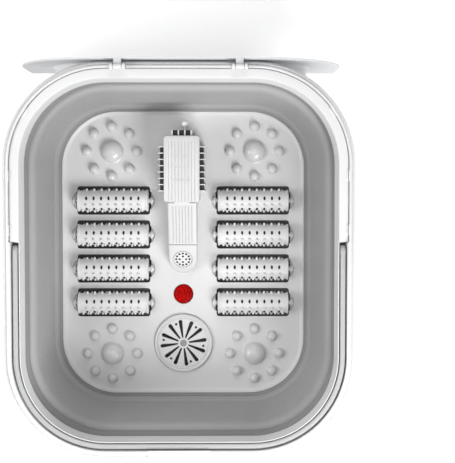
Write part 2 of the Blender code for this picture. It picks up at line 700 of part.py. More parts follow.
def main():
    clear_scene()
    mats = {
        "white": material("white_plastic", (0.86, 0.86, 0.87), 0.35),
        "grey": material("light_grey_plastic", (0.62, 0.62, 0.63), 0.45),
        "soft": material("grey_soft_plastic", (0.42, 0.42, 0.43), 0.60),
        "dark": material("dark_plastic", (0.06, 0.06, 0.07), 0.40),
        "red": material("red_lens", (0.55, 0.01, 0.01), 0.15),
        "metal": material("steel", (0.62, 0.63, 0.65), 0.30, 1.0),
        "board": material("circuit_board", (0.03, 0.22, 0.08), 0.50),
        "rubber": material("foot_rubber", (0.09, 0.09, 0.09), 0.80),
    }
    make_bottom_cover(mats["white"])
    make_base_shell(mats["white"])
    make_feet(mats["rubber"])
    make_cover_screws(mats["metal"])
    make_floor_tray(mats["grey"])
    make_lower_seal(mats["soft"])
    make_side_panel(mats["soft"])
    make_inner_parts(mats)
    make_impeller(mats["dark"])
    make_control_panel(mats)
    make_rollers(mats["white"])
    make_light_lens(mats["red"])
    make_herb_box(mats)
    make_pump_housing(mats["white"])
    make_temperature_probe(mats["metal"])
    make_nozzle_ramp(mats)
    rim = empty("rim_place", (0, 0, 0))
    make_rim_frame(mats["white"], rim)
    make_rim_trim(mats["white"], rim)
    make_upper_fold(mats["soft"], rim)
    make_hinge_pins(mats["metal"], rim)
    make_handle(mats["white"], empty("handle_pivot", (0, PIVOT_Y, PIVOT_Z), rim))
    cover_pivot = empty("cover_pivot", (0, COVER_HINGE_Y, COVER_HINGE_Z), rim)
    cover_pivot.rotation_euler = (COVER_REST_ANGLE, 0, 0)
    make_cover(mats["white"], cover_pivot)


main()
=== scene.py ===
"""Looks of the foot spa basin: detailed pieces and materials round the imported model, with light and camera.

Metres, +Z up, +Y to the rear. Every outline of the tub is a rounded rectangle round one core rectangle, so a
single offset from that core gives its size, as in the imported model.
"""
import json
from math import atan2, copysign, cos, pi, radians, sin, tau

import bmesh
import bpy
from mathutils import Matrix, Vector


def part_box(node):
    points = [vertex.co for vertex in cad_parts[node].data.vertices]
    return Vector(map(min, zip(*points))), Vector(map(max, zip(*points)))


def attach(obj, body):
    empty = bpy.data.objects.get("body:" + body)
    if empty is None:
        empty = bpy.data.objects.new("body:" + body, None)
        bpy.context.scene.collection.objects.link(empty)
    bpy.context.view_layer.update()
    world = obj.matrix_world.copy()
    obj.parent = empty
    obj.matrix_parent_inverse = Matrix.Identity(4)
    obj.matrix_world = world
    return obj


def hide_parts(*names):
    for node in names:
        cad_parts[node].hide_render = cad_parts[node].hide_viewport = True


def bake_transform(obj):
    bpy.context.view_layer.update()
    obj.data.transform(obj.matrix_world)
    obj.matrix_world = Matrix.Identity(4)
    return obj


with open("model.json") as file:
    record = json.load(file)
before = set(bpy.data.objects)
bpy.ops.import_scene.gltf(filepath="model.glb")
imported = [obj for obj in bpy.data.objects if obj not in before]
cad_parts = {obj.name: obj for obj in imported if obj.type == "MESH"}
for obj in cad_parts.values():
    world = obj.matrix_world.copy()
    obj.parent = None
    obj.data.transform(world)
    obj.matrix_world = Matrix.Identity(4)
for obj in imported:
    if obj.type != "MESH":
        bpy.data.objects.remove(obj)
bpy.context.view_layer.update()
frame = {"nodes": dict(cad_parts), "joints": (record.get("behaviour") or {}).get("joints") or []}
NODES = frame["nodes"]
JOINTS = {joint["name"]: joint for joint in frame["joints"]}

# Half sides of the core rectangle, and steps in each quarter turn of an outline round it
CORE_X, CORE_Y = 0.078, 0.102
CORNER_STEPS = 18
# Edges that turn by more than this are drawn sharp
SHARP_DEGREES = 40
move = Matrix.Translation
# Turn an axis along +Z to the front, and to the right
TO_FRONT = Matrix.Rotation(radians(90), 4, "X")
TO_RIGHT = Matrix.Rotation(radians(90), 4, "Y")


def reach(node):
    """A ring-shaped node's offset from the core, from its box."""
    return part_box(node)[1].x - CORE_X


def centre(node):
    """The middle of a node's box."""
    return sum(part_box(node), Vector()) / 2


def above(spot):
    """A move to spot in plan, which leaves heights as they are."""
    return move((spot.x, spot.y, 0))


# Offsets and heights of the model's rings
SKIRT_R = reach("rim_frame")
TRIM_R_REAR = reach("rim_trim")
PANEL_R = reach("side_panel")
SHELL_R = reach("base_shell")
HANDLE_HALF = 0.0028
HANDLE_TALL = 0.0070
HANDLE_R = reach("handle") - HANDLE_HALF
RIM_TOP = 0.2000
RIM_LOW = 0.1740
TRIM_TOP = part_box("rim_trim")[1].z
TROUGH_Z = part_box("rim_trim")[0].z - 0.0003
WALL_R = SKIRT_R - 0.0172
WALL_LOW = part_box("upper_fold")[1].z
PANEL_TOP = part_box("side_panel")[1].z
PANEL_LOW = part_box("side_panel")[0].z
SHELL_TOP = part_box("base_shell")[1].z
SHELL_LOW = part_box("base_shell")[0].z
FLOOR_Z = 0.0500
FLOOR_R = 0.0650
PIVOT = Vector(JOINTS["handle_lift"]["pos_m"])
COVER_HINGE = Vector(JOINTS["cover_hinge"]["pos_m"])
COVER_HINGE_X = 0.0635
# The handle's channel lies in front of this, and the rim's rear part behind it
REAR_FROM_Y = 0.0205
REAR_STEP_HALF = 0.0004
BUTTONS = ("power", "heat", "bubble", "light")


# ---- Mesh helpers ----

def grown_rectangle(half_x, half_y, radius, steps):
    """Points of a rectangle grown by radius, anticlockwise from the right-hand front corner."""
    points = []
    for quarter, (sx, sy) in enumerate(((1, -1), (1, 1), (-1, 1), (-1, -1))):
        for step in range(steps + 1):
            angle = radians(90) * (quarter - 1 + step / steps)
            points.append((sx * half_x + radius * cos(angle), sy * half_y + radius * sin(angle)))
    return points


def round_rectangle(half_x, half_y, radius, steps=5):
    """Points of a rectangle with these half sides and rounded corners."""
    return grown_rectangle(half_x - radius, half_y - radius, radius, steps)


def outline(offset):
    """Points of the core rectangle grown by offset."""
    return grown_rectangle(CORE_X, CORE_Y, offset, CORNER_STEPS)


def arc(radius, start, end, steps, middle=(0, 0)):
    """Points round middle, from one angle to another in degrees."""
    points = []
    for step in range(steps + 1):
        angle = radians(start + (end - start) * step / steps)
        points.append((middle[0] + radius * cos(angle), middle[1] + radius * sin(angle)))
    return points


def two_part_outline(front, rear):
    """An outline that steps from one offset to another where the handle's channel ends."""
    points = []
    before, after = REAR_FROM_Y - REAR_STEP_HALF, REAR_FROM_Y + REAR_STEP_HALF
    rear_points = outline(rear)
    for number, (x, y) in enumerate(outline(front)):
        if number == CORNER_STEPS + 1:
            points += [(CORE_X + front, before), (CORE_X + rear, after)]
        points.append((x, y) if y < 0 else rear_points[number])
        if number == 3 * CORNER_STEPS + 2:
            points += [(-CORE_X - rear, after), (-CORE_X - front, before)]
    return points


def rounded(profile, radius, steps=4, closed=True):
    """The profile with each corner turned into a short curve of about this radius."""
    result = []
    count = len(profile)
    for i, here in enumerate(profile):
        if not closed and i in (0, count - 1):
            result.append(here)
            continue
        here = Vector(here)
        before, after = Vector(profile[i - 1]), Vector(profile[(i + 1) % count])
        cut_in = min(radius, (before - here).length * 0.45)
        cut_out = min(radius, (after - here).length * 0.45)
        start = here + (before - here).normalized() * cut_in
        end = here + (after - here).normalized() * cut_out
        for step in range(steps + 1):
            t = step / steps
            result.append(tuple(start * (1 - t) ** 2 + here * 2 * t * (1 - t) + end * t**2))
    return result


def loft(sections, bm=None, closed=False):
    """Joins sections, lists of points with one length, by faces. The ends are capped, or joined if closed."""
    bm = bm or bmesh.new()
    rings = [[bm.verts.new(point) for point in section] for section in sections]
    pairs = list(zip(rings, rings[1:]))
    if closed:
        pairs.append((rings[-1], rings[0]))
    for low, high in pairs:
        for i in range(len(low)):
            j = (i + 1) % len(low)
            bm.faces.new((low[i], low[j], high[j], high[i]))
    if not closed:
        bm.faces.new(list(reversed(rings[0])))
        bm.faces.new(rings[-1])
    return bm


def add_object(name, data):
    """A new object in the scene."""
    obj = bpy.data.objects.new(name, data)
    bpy.context.scene.collection.objects.link(obj)
    return obj


def make_object(name, bm, mats, angle=SHARP_DEGREES):
    """A smooth-shaded object of bm, which is freed."""
    bmesh.ops.recalc_face_normals(bm, faces=bm.faces)
    mesh = bpy.data.meshes.new(name)
    bm.to_mesh(mesh)
    bm.free()
    mesh.shade_smooth()
    mesh.set_sharp_from_angle(angle=radians(angle))
    for mat in mats if isinstance(mats, (list, tuple)) else [mats]:
        mesh.materials.append(mat)
    return add_object(name, mesh)


def settle(obj):
    """Applies the modifiers of obj to its mesh."""
    bpy.context.view_layer.update()
    graph = bpy.context.evaluated_depsgraph_get()
    mesh = bpy.data.meshes.new_from_object(obj.evaluated_get(graph), depsgraph=graph)
    obj.modifiers.clear()
    obj.data = mesh
    mesh.shade_smooth()
    mesh.set_sharp_from_angle(angle=radians(SHARP_DEGREES))
    return obj


def cut(obj, bm):
    """Cuts bm from obj."""
    helper = make_object(f"{obj.name}_cutter", bm, list(obj.data.materials))
    modifier = obj.modifiers.new("cut", "BOOLEAN")
    modifier.operation = "DIFFERENCE"
    modifier.solver = "EXACT"
    modifier.use_self = True
    modifier.object = helper
    settle(obj)
    bpy.data.objects.remove(helper)


def soften(obj, width, segments=3, angle=35):
    """Rounds the sharp edges of obj."""
    modifier = obj.modifiers.new("soften", "BEVEL")
    modifier.width = width
    modifier.segments = segments
    modifier.limit_method = "ANGLE"
    modifier.angle_limit = radians(angle)
    return settle(obj)


def place(obj, body, slot, *nodes):
    """Says which body obj rides on, and which nodes of the model it stands for. The slot, a name for its
    finish, is not used.
    """
    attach(obj, body)
    if nodes:
        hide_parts(*nodes)


def ring(name, profile, mat, radius, steps=4):
    """A closed ring with this cross-section of (offset, z). An offset may be a (front, rear) pair."""
    def flat(part):
        return [(p[0][part] if isinstance(p[0], tuple) else p[0], p[1]) for p in profile]
    front = rounded(flat(0), radius, steps)
    rear = rounded(flat(1), radius, steps)
    sections = []
    for (front_offset, front_z), (rear_offset, rear_z) in zip(front, rear):
        points = two_part_outline(front_offset, rear_offset)
        sections.append([(x, y, front_z if y < REAR_FROM_Y else rear_z) for x, y in points])
    return make_object(name, loft(sections, closed=True), mat)


def plain_ring(name, profile, mat, radius):
    """A closed ring with one cross-section of (offset, z) all round."""
    sections = [[(x, y, z) for x, y in outline(offset)] for offset, z in rounded(profile, radius, 3)]
    return make_object(name, loft(sections, closed=True), mat)


def turned(profile, sides=40, matrix=None, bm=None):
    """Adds a solid of revolution about Z through (radius, z) points."""
    sections = []
    for radius, z in profile:
        angles = [tau * i / sides for i in range(sides)]
        points = [Vector((radius * cos(a), radius * sin(a), z)) for a in angles]
        sections.append([matrix @ p if matrix else p for p in points])
    return loft(sections, bm)


def block(low, high, bm=None, matrix=None):
    """Adds a box from corner low to corner high."""
    bm = bm or bmesh.new()
    low, high = Vector(low), Vector(high)
    fit = move((low + high) / 2) @ Matrix.Diagonal((*(high - low), 1))
    bmesh.ops.create_cube(bm, size=1.0, matrix=(matrix or Matrix()) @ fit)
    return bm


def grown(plan, grow):
    """A plan round its own middle, with each point moved outwards along both axes."""
    return [(x + copysign(grow, x), y + copysign(grow, y)) for x, y in plan]


# ---- Materials ----

def noise(tree, scale, detail, vector):
    """The value of a noise texture over vector."""
    texture = tree.nodes.new("ShaderNodeTexNoise")
    texture.inputs["Scale"].default_value = scale
    texture.inputs["Detail"].default_value = detail
    tree.links.new(vector, texture.inputs["Vector"])
    return texture.outputs["Fac"]


def colour_ramp(tree, value, *stops):
    """The colour that value picks between two stops of (position, colour)."""
    node = tree.nodes.new("ShaderNodeValToRGB")
    for element, (position, colour) in zip(node.color_ramp.elements, stops):
        element.position = position
        element.color = (*colour, 1)
    tree.links.new(value, node.inputs["Fac"])
    return node.outputs["Color"]


def plastic(name, colour, roughness, variation, grain, grain_scale, coat=0.0, metallic=0.0):
    """Moulded plastic: slow changes of shade, a fine texture in relief, and faint scuffs in the gloss."""
    mat = bpy.data.materials.new(name)
    mat.use_nodes = True
    tree = mat.node_tree
    nodes, links = tree.nodes, tree.links
    shader = nodes["Principled BSDF"]
    shader.inputs["Metallic"].default_value = metallic
    shader.inputs["Coat Weight"].default_value = coat
    shader.inputs["Coat Roughness"].default_value = 0.15
    where = nodes.new("ShaderNodeTexCoord").outputs["Object"]

    dark = [c * (1 - variation) for c in colour]
    light = [min(1, c * (1 + variation * 0.5)) for c in colour]
    shade = colour_ramp(tree, noise(tree, 11.0, 4.0, where), (0.32, dark), (0.68, light))
    links.new(shade, shader.inputs["Base Color"])

    stretch = nodes.new("ShaderNodeMapping")
    stretch.inputs["Scale"].default_value = (1.0, 7.0, 1.6)
    stretch.inputs["Rotation"].default_value = (0.3, 0.2, 0.6)
    links.new(where, stretch.inputs["Vector"])
    gloss = nodes.new("ShaderNodeMapRange")
    gloss.inputs["From Min"].default_value = 0.35
    gloss.inputs["From Max"].default_value = 0.75
    gloss.inputs["To Min"].default_value = max(0.02, roughness - 0.05)
    gloss.inputs["To Max"].default_value = min(1.0, roughness + 0.12)
    links.new(noise(tree, 70.0, 6.0, stretch.outputs["Vector"]), gloss.inputs["Value"])
    links.new(gloss.outputs["Result"], shader.inputs["Roughness"])

    bump = nodes.new("ShaderNodeBump")
    bump.inputs["Strength"].default_value = grain
    bump.inputs["Distance"].default_value = 0.0004
    links.new(noise(tree, grain_scale, 3.0, where), bump.inputs["Height"])
    links.new(bump.outputs["Normal"], shader.inputs["Normal"])
    return mat


def make_materials():
    """Every finish, by a short name."""
    white = (0.66, 0.66, 0.665)
    return {
        "white": plastic("white_satin", white, 0.32, 0.02, 0.03, 1400.0, 0.15),
        "trim": plastic("white_trim", white, 0.38, 0.02, 0.04, 1400.0, 0.05),
        "handle": plastic("handle_pale_grey", (0.41, 0.41, 0.414), 0.36, 0.03, 0.05, 1300.0, 0.1),
        # A lighter copy of the white plastic: painted light that keeps the probe's tip bright in the rear
        # wall's shade.
        "probe": plastic("probe_white_painted_light", (0.88, 0.88, 0.885), 0.30, 0.02, 0.03, 1400.0, 0.1),
        "housing": plastic("housing_white", (0.62, 0.62, 0.625), 0.40, 0.02, 0.05, 1300.0, 0.05),
        "floor": plastic("floor_grey", (0.68, 0.68, 0.682), 0.33, 0.03, 0.08, 1100.0, 0.08),
        "nub": plastic("nub_satin", (0.66, 0.66, 0.662), 0.20, 0.02, 0.04, 1100.0, 0.4),
        "wall": plastic("wall_soft_grey", (0.36, 0.36, 0.365), 0.55, 0.04, 0.10, 900.0),
        "fold": plastic("fold_soft_grey", (0.26, 0.26, 0.264), 0.62, 0.05, 0.12, 800.0),
        "roller": plastic("roller_white", (0.72, 0.72, 0.725), 0.36, 0.06, 0.18, 1700.0, 0.1),
        # Near-black painted shade: for the shaded holes in the rollers and the sieve, and, with the intake
        # slots, for the gaps between the housing's fins
        "painted_shade": plastic("painted_shade_black", (0.012, 0.012, 0.013), 0.60, 0.10, 0.10, 1200.0),
        # Dark grey painted shade: for the walls of the roller troughs, the rear vent slots and the herb cup
        # seen through its lid's slots
        "pocket": plastic("pocket_dark", (0.11, 0.11, 0.112), 0.55, 0.10, 0.12, 900.0),
        "grille": plastic("lid_light_grey", (0.70, 0.70, 0.705), 0.40, 0.03, 0.06, 1200.0, 0.1),
        "boss": plastic("boss_grey", (0.30, 0.30, 0.305), 0.45, 0.05, 0.08, 1200.0),
        "panel": plastic("panel_gloss_dark", (0.035, 0.035, 0.04), 0.12, 0.10, 0.01, 1500.0, 0.6),
        "rubber": plastic("foot_rubber", (0.06, 0.06, 0.062), 0.75, 0.12, 0.30, 1500.0),
        "metal": plastic("steel_brushed", (0.60, 0.61, 0.63), 0.28, 0.06, 0.10, 2200.0, metallic=1.0),
        "board": plastic("board_green", (0.03, 0.19, 0.07), 0.40, 0.15, 0.20, 700.0, 0.3),
        "cover": cover_material(),
        "lens": lens_material("lens_red", (0.60, 0.001, 0.001), 0.03),
        "display": lens_material("display_red", (0.50, 0.006, 0.008), 0.9),
    }


def cover_material():
    """Milky plastic that lets a little of what is behind it show."""
    mat = plastic("cover_translucent", (0.72, 0.73, 0.74), 0.45, 0.01, 0.0, 1200.0)
    mat.node_tree.nodes["Principled BSDF"].inputs["Alpha"].default_value = 0.86
    return mat


def lens_material(name, colour, glow):
    """Red plastic with cells of darker red, which glows a little from the lamp under it."""
    mat = plastic(name, colour, 0.50, 0.25, 0.02, 1200.0)
    tree = mat.node_tree
    shader = tree.nodes["Principled BSDF"]
    cells = tree.nodes.new("ShaderNodeTexVoronoi")
    cells.inputs["Scale"].default_value = 420.0
    where = tree.nodes.new("ShaderNodeTexCoord").outputs["Object"]
    tree.links.new(where, cells.inputs["Vector"])
    tint = colour_ramp(tree, cells.outputs["Distance"], (0.0, colour), (1.0, [c * 0.25 for c in colour]))
    tree.links.new(tint, shader.inputs["Emission Color"])
    tree.links.new(tint, shader.inputs["Base Color"])
    shader.inputs["Specular IOR Level"].default_value = 0.06
    shader.inputs["Emission Strength"].default_value = glow
    return mat


# ---- Rim ----

def make_rim(mats):
    """The white rim: a skirt, a raised lip and the trough that the handle lies in."""
    lip = (SKIRT_R - 0.0097, SKIRT_R - 0.0077)
    back = (lip[0] + 0.0022, lip[1] + 0.0022)
    profile = [
        (SKIRT_R - 0.0008, RIM_LOW), (SKIRT_R, 0.1905), (SKIRT_R - 0.0022, 0.1970),
        (SKIRT_R - 0.0036, 0.1978), (SKIRT_R - 0.0044, 0.1966), (SKIRT_R - 0.0050, 0.1994),
        (SKIRT_R - 0.0060, RIM_TOP), (lip, RIM_TOP), (lip, TROUGH_Z), (WALL_R + 0.0006, TROUGH_Z),
        (WALL_R + 0.0006, TROUGH_Z - 0.0020),
        (back, TROUGH_Z - 0.0020), (back, 0.1975), (SKIRT_R - 0.0052, 0.1975), (SKIRT_R - 0.0024, 0.1900),
        (SKIRT_R - 0.0030, RIM_LOW),
    ]
    rim = ring("rim_moulding", profile, mats["white"], 0.0011)
    place(rim, "rim", "white_plastic", "rim_frame")
    low = TROUGH_Z - 0.0024
    bottom = WALL_LOW + 0.0002
    wall = [
        (WALL_R, TROUGH_Z + 0.0002), (WALL_R, 0.1720), (WALL_R + 0.0004, bottom), (WALL_R + 0.0022, bottom),
        (WALL_R + 0.0024, bottom + 0.0030), (WALL_R + 0.0019, bottom + 0.0055), (WALL_R + 0.0026, 0.1720),
        (WALL_R + 0.0026, low), (WALL_R + 0.0005, low), (WALL_R + 0.0005, TROUGH_Z + 0.0002),
    ]
    band = plain_ring("rim_wall_band", wall, mats["fold"], 0.0007)
    place(band, "rim", "soft_grey", "rim_frame")


def make_trim(mats):
    """The ring inside the rim, with a sloping inner face. Behind the handle it widens over the trough."""
    low = TROUGH_Z + 0.0003
    outer = (SKIRT_R - 0.0177, TRIM_R_REAR + 0.0007)
    profile = [
        (SKIRT_R - 0.0213, 0.1790), (SKIRT_R - 0.0204, 0.1850), (SKIRT_R - 0.0192, 0.1925),
        ((SKIRT_R - 0.0189, SKIRT_R - 0.0182), TRIM_TOP), (outer, TRIM_TOP), (outer, low),
        (SKIRT_R - 0.0188, low), (SKIRT_R - 0.0190, 0.1785),
    ]
    trim = ring("rim_trim_ring", profile, mats["trim"], 0.0009)
    place(trim, "rim", "white_plastic", "rim_trim")


def on_outline(x, y, offset):
    """The nearest place on outline(offset) to (x, y), and the outward direction there."""
    near = Vector((max(-CORE_X, min(CORE_X, x)), max(-CORE_Y, min(CORE_Y, y))))
    out = (Vector((x, y)) - near).normalized()
    return near + out * offset, atan2(out.y, out.x)


# Where the cover's catches are, roughly: each is moved to the nearest place on its outline
CATCHES = [(sx * x, y) for x, y in ((0.1587, 0.1555), (0.1760, 0.0905), (0.1740, 0.0335)) for sx in (-1, 1)]
CATCH_HALF_Y = 0.0060


def make_trough_strip(mats):
    """A dark strip on the bottom of the trough: painted shade for the shaded gaps beside the handle. Behind
    the handle it is narrow and hidden.
    """
    inner = WALL_R + 0.0030
    outer = (SKIRT_R - 0.0101, inner + 0.0004)
    low, high = TROUGH_Z - 0.0005, TROUGH_Z + 0.0002
    profile = [(inner, low), (outer, low), (outer, high), (inner, high)]
    # The strip's dark grey is painted shade for the gaps beside the handle.
    place(ring("trough_painted_shade_strip", profile, mats["fold"], 0.0002, 2), "rim", "soft_grey")


def make_catches(mats):
    """Small blocks round the rear of the rim, each with a lower pad under the closed cover's edge."""
    bm = bmesh.new()
    for x, y in CATCHES:
        spot, angle = on_outline(x, y, SKIRT_R - 0.0084)
        turn = move((spot.x, spot.y, RIM_TOP)) @ Matrix.Rotation(angle, 4, "Z")
        block((0.0001, -CATCH_HALF_Y, -0.0036), (0.0026, CATCH_HALF_Y, -0.0001), bm, turn)
        block((-0.0026, -CATCH_HALF_Y, -0.0040), (-0.0001, CATCH_HALF_Y, -0.0028), bm, turn)
    catches = soften(make_object("cover_catches", bm, mats["white"]), 0.0006)
    place(catches, "rim", "white_plastic")


def make_front_tab(mats):
    """The flat tab in the middle of the rim's front edge, and the grip under it."""
    front = -(CORE_Y + SKIRT_R)
    half_x = 0.0330
    plan = round_rectangle(half_x, 0.0042, 0.0016, 4)
    sections = []
    for z, grow in ((0.1960, 0.0), (0.1998, 0.0), (0.2003, -0.0006)):
        sections.append([(x, front + 0.0053 + y, z) for x, y in grown(plan, grow)])
    place(make_object("rim_front_tab", loft(sections), mats["white"]), "rim", "white_plastic")
    lip = round_rectangle(half_x, 0.0016, 0.0012, 4)
    under = [[(x, front + 0.0008 + y, z) for x, y in lip] for z in (0.1700, 0.1740, 0.1900)]
    place(make_object("rim_front_grip", loft(under), mats["white"]), "rim", "white_plastic")


def make_hinge_ears(mats):
    """The lugs on the rear of the rim that hold the cover's pins."""
    bm = bmesh.new()
    low, spread = 0.1992, 0.0066
    top = arc(0.0033, 0, 180, 12, COVER_HINGE.yz)
    points = [(COVER_HINGE.y + 0.0050, low), *top, (COVER_HINGE.y - 0.0001, low)]
    for side in (-1, 1):
        for ear in (-1, 1):
            x = side * COVER_HINGE_X + ear * spread
            loft([[(x + dx, y, z) for y, z in points] for dx in (-0.0017, 0.0017)], bm)
    ears = soften(make_object("cover_hinge_ears", bm, mats["white"]), 0.0004, 2)
    place(ears, "rim", "white_plastic")


# ---- Handle ----

def handle_path():
    """Places along the handle, from its right-hand end: x, y, outward angle, and the end's rounding."""
    side_x, side_middle_y = CORE_X + HANDLE_R, -0.045
    arm = []
    for degrees in (82, 68, 54, 40, 26, 12, 0):
        arm.append((side_x, PIVOT.y + HANDLE_TALL * sin(radians(degrees)), 0.0, degrees))
    arm.append((side_x, side_middle_y, 0.0, 0))
    front = []
    for sx, turns in ((1, 0), (-1, 1)):
        for step in range(CORNER_STEPS + 1):
            angle = radians(-90) * (turns + step / CORNER_STEPS)
            x = sx * CORE_X + HANDLE_R * cos(angle)
            front.append((x, -CORE_Y + HANDLE_R * sin(angle), angle, 0))
    return arm + front + [(-x, y, pi, degrees) for x, y, angle, degrees in reversed(arm)]


def make_handle(mats):
    """A strip with rounded edges that swings up on two pins, with a round cap at each end."""
    sections = []
    for x, y, angle, degrees in handle_path():
        tall = HANDLE_TALL * cos(radians(degrees))
        edge = min(0.0018, tall * 0.6)
        section = []
        for dx, dz in round_rectangle(HANDLE_HALF, tall, edge, 4):
            section.append((x + dx * cos(angle), y + dx * sin(angle), PIVOT.z + dz))
        sections.append(section)
    handle = make_object("carrying_handle", loft(sections), mats["handle"], 50)
    place(handle, "handle", "white_plastic", "handle")
    caps = bmesh.new()
    for side in (-1, 1):
        turn = move((side * (CORE_X + HANDLE_R - HANDLE_HALF), PIVOT.y, PIVOT.z))
        turn = turn @ Matrix.Rotation(radians(-90 * side), 4, "Y")
        turned([(0.0046, -0.0004), (0.0046, 0.0002), (0.0040, 0.0006), (0.0015, 0.0007)], 28, turn, caps)
    place(make_object("handle_pivot_caps", caps, mats["handle"]), "handle", "white_plastic")


# ---- Tub wall ----

def make_side_panel(mats):
    """The stiff wall: rolled out at the top, with fine lines outside and a low step inside near the floor."""
    top, low = PANEL_R, PANEL_R - 0.0180

    def wall_r(z):
        return low + (top - low) * (z - PANEL_LOW) / (PANEL_TOP - PANEL_LOW)
    outer = [(low, PANEL_LOW)]
    for z in (0.0700, PANEL_TOP - 0.0160):
        outer += [(wall_r(z), z), (wall_r(z) - 0.0007, z + 0.0009), (wall_r(z + 0.0018), z + 0.0018)]
    outer.append((top, PANEL_TOP))
    inner = [
        (top - 0.0012, PANEL_TOP), (top - 0.0046, PANEL_TOP - 0.0003), (top - 0.0076, PANEL_TOP - 0.0026),
        (top - 0.0094, PANEL_TOP - 0.0070), (top - 0.0104, PANEL_TOP - 0.0140),
        (wall_r(0.0690) - 0.0022, 0.0690), (wall_r(0.0670) - 0.0036, 0.0668), (low - 0.0040, 0.0610),
        (low - 0.0030, PANEL_LOW),
    ]
    panel = plain_ring("tub_wall", outer + inner, mats["wall"], 0.0014)
    place(panel, "base", "soft_grey", "side_panel")


def make_upper_fold(mats):
    """The soft fold between the stiff wall and the rim. The real fold shortens when the rim goes down; this
    mesh is fixed and does not.
    """
    bottom, top = PANEL_TOP - 0.0002, WALL_LOW + 0.0002
    middle = (bottom + top) / 2
    profile = [
        (PANEL_R + 0.0002, bottom), (PANEL_R - 0.0004, bottom + 0.0025), (PANEL_R + 0.0022, middle - 0.0010),
        (PANEL_R + 0.0012, middle + 0.0015), (WALL_R + 0.0024, top - 0.0018), (WALL_R + 0.0023, top),
        (WALL_R + 0.0001, top), (WALL_R - 0.0006, middle + 0.0015), (PANEL_R + 0.0002, middle),
        (PANEL_R - 0.0012, middle - 0.0030), (PANEL_R - 0.0022, bottom),
    ]
    fold = plain_ring("soft_fold", profile, mats["fold"], 0.0010)
    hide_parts("upper_fold")
    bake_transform(fold)


def make_lower_seal(mats):
    """The soft band between the base shell and the stiff wall."""
    low, high = SHELL_TOP + 0.0008, PANEL_LOW
    profile = [
        (FLOOR_R + 0.0002, low), (SHELL_R - 0.0004, low), (SHELL_R + 0.0010, low + 0.0030),
        (PANEL_R - 0.0186, high - 0.0010), (PANEL_R - 0.0182, high + 0.0002),
        (PANEL_R - 0.0204, high + 0.0002), (FLOOR_R + 0.0024, 0.0540), (FLOOR_R + 0.0002, 0.0532),
    ]
    seal = plain_ring("lower_soft_band", profile, mats["fold"], 0.0010)
    place(seal, "base", "soft_grey", "lower_seal")


# ---- Base ----

def make_base_shell(mats):
    """The white shell and its bottom flange, with holes for the panel, the inlet and the screws."""
    thick = 0.0022
    low_r, flange_r, flange_low, flange_high = SHELL_R - 0.0020, 0.0470, 0.0080, 0.0105
    profile = [
        (low_r, SHELL_LOW), (SHELL_R - 0.0001, SHELL_TOP - 0.0052), (SHELL_R - 0.0008, SHELL_TOP - 0.0045),
        (SHELL_R - 0.0001, SHELL_TOP - 0.0038), (SHELL_R, SHELL_TOP), (SHELL_R - thick, SHELL_TOP),
        (low_r - thick, flange_high), (flange_r, flange_high), (flange_r, flange_low),
        (low_r - thick, flange_low), (low_r - thick, SHELL_LOW),
    ]
    shell = plain_ring("base_shell_moulding", profile, mats["white"], 0.0006)
    holes = bmesh.new()
    panel_low, panel_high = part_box("control_panel")
    grow = Vector((0.0003, 0.006, 0.0003))
    block(panel_low - grow, panel_high + grow, holes)
    inlet = centre("power_inlet")
    rear_wall_y, inlet_r, screw_r = 0.170, 0.0090, 0.0021
    turn = move((inlet.x, rear_wall_y, inlet.z)) @ TO_FRONT
    turned([(inlet_r, -0.01), (inlet_r, 0.01)], 32, turn, holes)
    for screw in range(1, 5):
        turned([(screw_r, 0.006), (screw_r, 0.013)], 16, above(centre(f"base_screw_{screw}")), holes)
    cut(shell, holes)
    place(shell, "base", "white_plastic", "base_shell")
    # Thin dark blocks on the rear wall stand for the vent slots: painted shade in place of openings.
    vents = bmesh.new()
    vent_x, vent_pitch, vent_wide = 0.012, 0.006, 0.0028
    for number in range(9):
        x = vent_x + number * vent_pitch
        block((x, 0.1672, 0.0200), (x + vent_wide, 0.1690, 0.0340), vents)
    vents = soften(make_object("rear_vent_slots_painted_shade", vents, mats["pocket"]), 0.0006, 2)
    place(vents, "base", "dark_plastic")


def make_control_panel(mats):
    """Glossy front panel with a display window and four buttons."""
    low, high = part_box("control_panel")
    middle = (low + high) / 2
    plan = round_rectangle((high.x - low.x) / 2, (high.z - low.z) / 2, 0.0035, 6)
    sections = []
    for y, grow in ((high.y, 0.0), (low.y + 0.0006, 0.0), (low.y, -0.0006)):
        sections.append([(x, y, middle.z + z) for x, z in grown(plan, grow)])
    panel = make_object("control_panel_face", loft(sections), mats["panel"])
    holes = bmesh.new()
    button_hole_r = 0.0045
    for name in BUTTONS:
        spot = centre(f"{name}_button")
        turn = move((spot.x, low.y, spot.z)) @ TO_FRONT
        turned([(button_hole_r, -0.006), (button_hole_r, 0.006)], 32, turn, holes)
    window_low, window_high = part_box("display_window")
    gap = Vector((0.0003, 0.004, 0.0003))
    block(window_low - gap, window_high + gap, holes)
    cut(panel, holes)
    place(panel, "base", "dark_plastic", "control_panel")
    make_display(mats, window_low, window_high)
    for name in BUTTONS:
        make_button(mats, name)


def make_display(mats, low, high):
    """The display: a dark window with a red bar gauge on its face."""
    half_x, half_z = (high.x - low.x) / 2, (high.z - low.z) / 2
    middle = (low + high) / 2
    window = soften(make_object("display_glass", block(low, high), mats["panel"]), 0.0005)
    place(window, "base", "red_lens", "display_window")
    bars = bmesh.new()
    bar_half = 0.0009
    for number in range(7):
        x = middle.x - half_x * 0.72 + number * half_x * 0.24
        tall = half_z * (0.25 + 0.08 * number)
        corner = (x + bar_half, low.y + 0.0004, middle.z + tall)
        block((x - bar_half, low.y - 0.0002, middle.z - tall), corner, bars)
    bars = soften(make_object("display_bars", bars, mats["display"]), 0.0002, 2)
    place(bars, "base", "red_lens")


